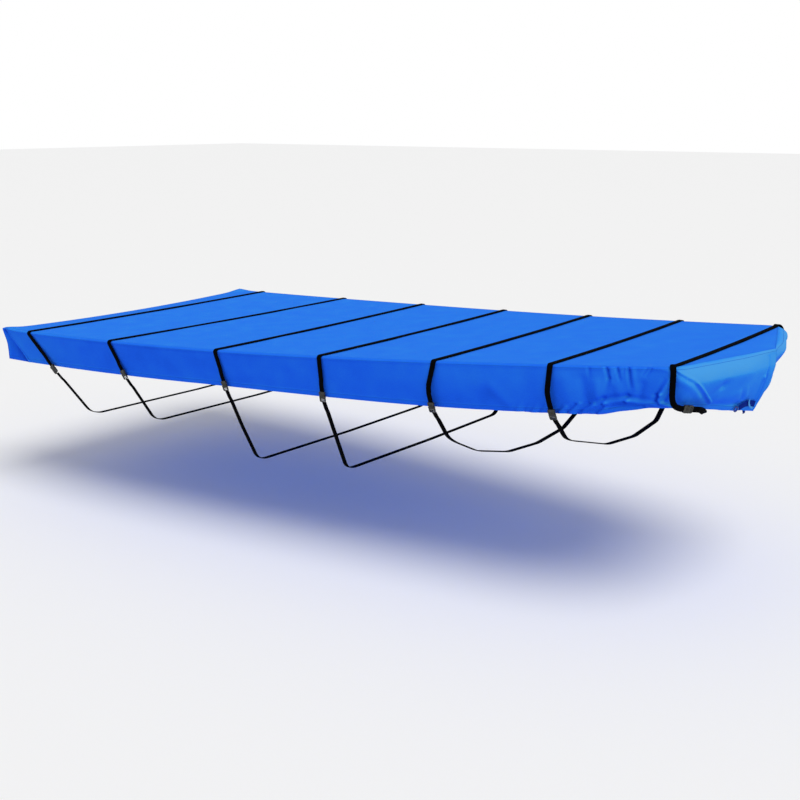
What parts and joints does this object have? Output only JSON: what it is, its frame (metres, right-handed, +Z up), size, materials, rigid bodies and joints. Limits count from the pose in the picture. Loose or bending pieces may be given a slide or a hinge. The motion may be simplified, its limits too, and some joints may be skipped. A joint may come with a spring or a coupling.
{
  "type": "fitted boat cover",
  "caption": "Fitted fabric cover for a flat-bottomed open boat: level top, hanging side skirts, squared V bow, and buckled webbing straps that loop round under the hull.",
  "frame": {"origin": "on the underside of the top cloth, at the middle of the cover's length and beam, where the boat holds it up", "axes": "+X to the bow, +Y to port, +Z up"},
  "size_m": [4.0344, 1.8832, 0.7372],
  "materials": {
    "blue_cloth": "coated woven polyester, bright blue, matt with a slight sheen",
    "black_webbing": "woven black webbing, matt",
    "black_plastic": "moulded dark plastic, satin",
    "navy_webbing": "woven navy webbing, matt",
    "pale_cloth": "light blue woven cloth loop",
    "navy_metal": "navy painted metal eyelet, satin"
  },
  "bodies": {
    "root": {"top_panel": "blue_cloth", "skirt_starboard": "blue_cloth", "skirt_port": "blue_cloth", "stern_panel": "blue_cloth", "bow_tab": "navy_webbing", "bow_tab_end": "navy_webbing", "bow_keeper": "pale_cloth", "bow_ring": "navy_metal", "strap_1": "black_webbing", "buckle_socket_1": "black_plastic", "buckle_plug_1": "black_plastic", "strap_2": "black_webbing", "buckle_socket_2": "black_plastic", "buckle_plug_2": "black_plastic", "strap_3": "black_webbing", "buckle_socket_3": "black_plastic", "buckle_plug_3": "black_plastic", "strap_4": "black_webbing", "buckle_socket_4": "black_plastic", "buckle_plug_4": "black_plastic", "strap_5": "black_webbing", "buckle_socket_5": "black_plastic", "buckle_plug_5": "black_plastic", "strap_6": "black_webbing", "buckle_socket_6": "black_plastic", "buckle_plug_6": "black_plastic", "strap_7": "black_webbing", "buckle_socket_7": "black_plastic", "buckle_plug_7": "black_plastic"}
  },
  "joints": []
}
